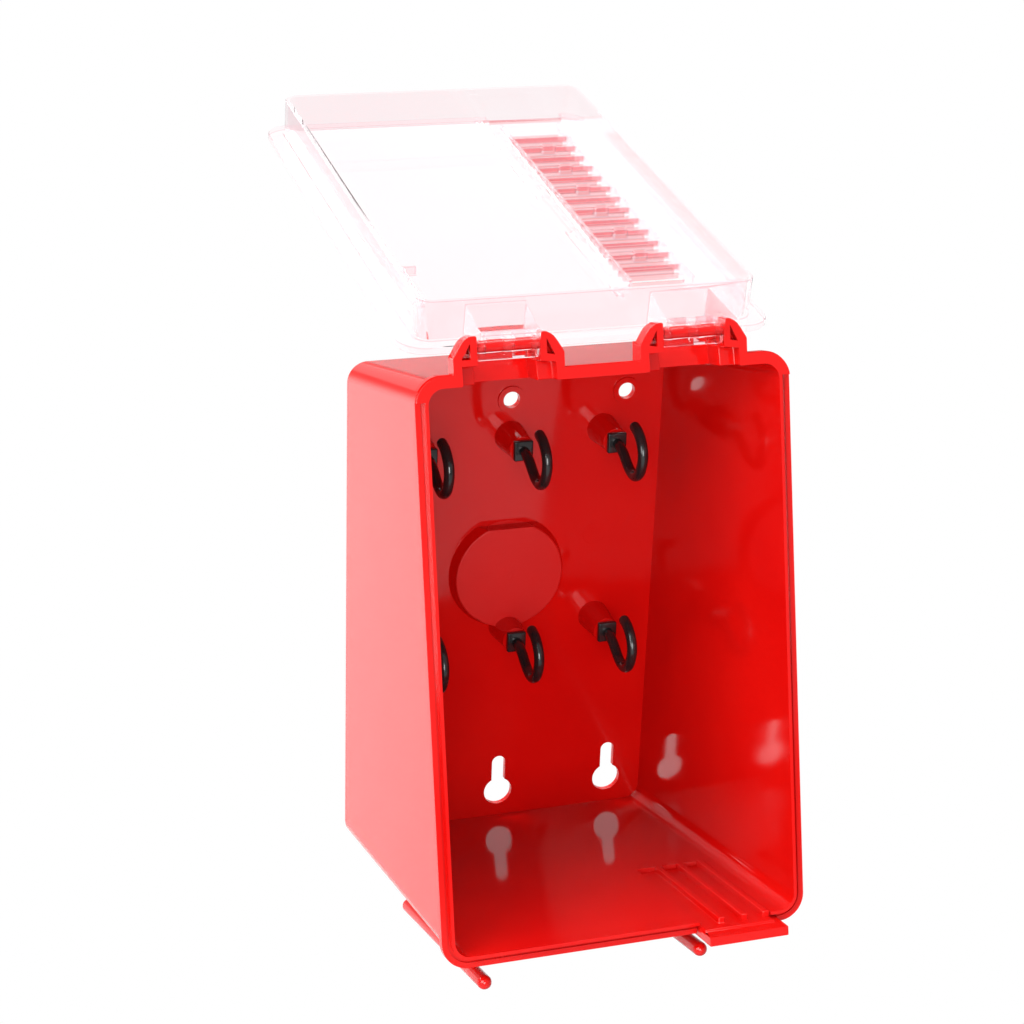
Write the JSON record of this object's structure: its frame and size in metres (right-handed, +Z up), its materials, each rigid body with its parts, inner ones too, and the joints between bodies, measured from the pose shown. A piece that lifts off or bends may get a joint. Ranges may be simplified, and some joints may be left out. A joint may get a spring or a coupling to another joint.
{
  "type": "wall-mounted lockout box",
  "caption": "Red wall-mounted lockout box with a sloping open front, inner hooks for padlocks and keys, and a clear hinged cover with a row of padlock slots.",
  "frame": {"origin": "point on the flat back face on the centre plane, 60 mm above its bottom edge", "axes": "+Z up when hung on a wall, +Y out of the back face into the wall, front towards -Y, +X to the right seen from the front"},
  "size_m": [0.157, 0.3206, 0.3267],
  "materials": {
    "red_plastic": "glossy moulded ABS",
    "clear_plastic": "clear moulded polycarbonate",
    "black_plastic": "glossy moulded nylon",
    "zinc_steel": "bright zinc plate",
    "magnet": "matt ferrite"
  },
  "bodies": {
    "box": {"body_shell": "red_plastic", "hinge_bar_left": "red_plastic", "hinge_bar_right": "red_plastic", "hook_upper_left": "black_plastic", "hook_screw_upper_left": "zinc_steel", "hook_upper_middle": "black_plastic", "hook_screw_upper_middle": "zinc_steel", "hook_upper_right": "black_plastic", "hook_screw_upper_right": "zinc_steel", "hook_lower_left": "black_plastic", "hook_screw_lower_left": "zinc_steel", "hook_lower_middle": "black_plastic", "hook_screw_lower_middle": "zinc_steel", "hook_lower_right": "black_plastic", "hook_screw_lower_right": "zinc_steel", "lock_tongue": "red_plastic", "runner_left": "red_plastic", "runner_right": "red_plastic", "back_magnet": "magnet"},
    "cover": {"cover": "clear_plastic"}
  },
  "joints": [
    {"name": "cover_hinge", "type": "hinge", "parent": "box", "child": "cover", "pos_m": [0, -0.10928, 0.21086], "axis": [1, 0, 0], "range_deg": [0, 248]}
  ]
}
